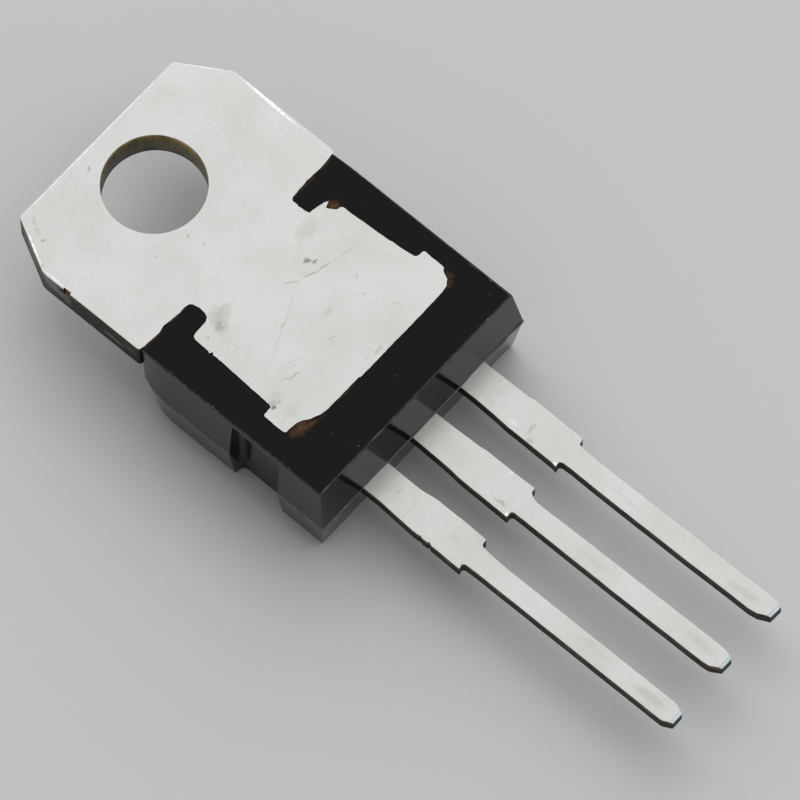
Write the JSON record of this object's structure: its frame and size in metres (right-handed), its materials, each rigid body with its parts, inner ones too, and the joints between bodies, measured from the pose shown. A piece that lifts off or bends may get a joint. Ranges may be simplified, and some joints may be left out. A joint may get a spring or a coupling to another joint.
{
  "type": "voltage regulator",
  "caption": "Linear voltage regulator in a flat power package: bare metal tab with one mounting hole, black moulded body and straight through-hole leads.",
  "frame": {"origin": "axis of the mounting hole, in the flat back face of the tab", "axes": "+Z out of the back face, which bolts to a heat sink; +Y towards the top edge of the tab; -Y along the leads; X across the package"},
  "size_m": [0.0104, 0.0289, 0.0043],
  "materials": {
    "tinned_copper": "satin matte tin plating",
    "moulding": "fine matte faces with polished sides",
    "solder_layer": "dull",
    "silicon": "polished",
    "bond_aluminium": "drawn"
  },
  "bodies": {
    "root": {"spreader": "tinned_copper", "input_lead": "tinned_copper", "output_lead": "tinned_copper", "solder": "solder_layer", "die": "silicon", "input_wire": "bond_aluminium", "output_wire": "bond_aluminium", "ground_wire": "bond_aluminium", "body": "moulding"}
  },
  "joints": []
}
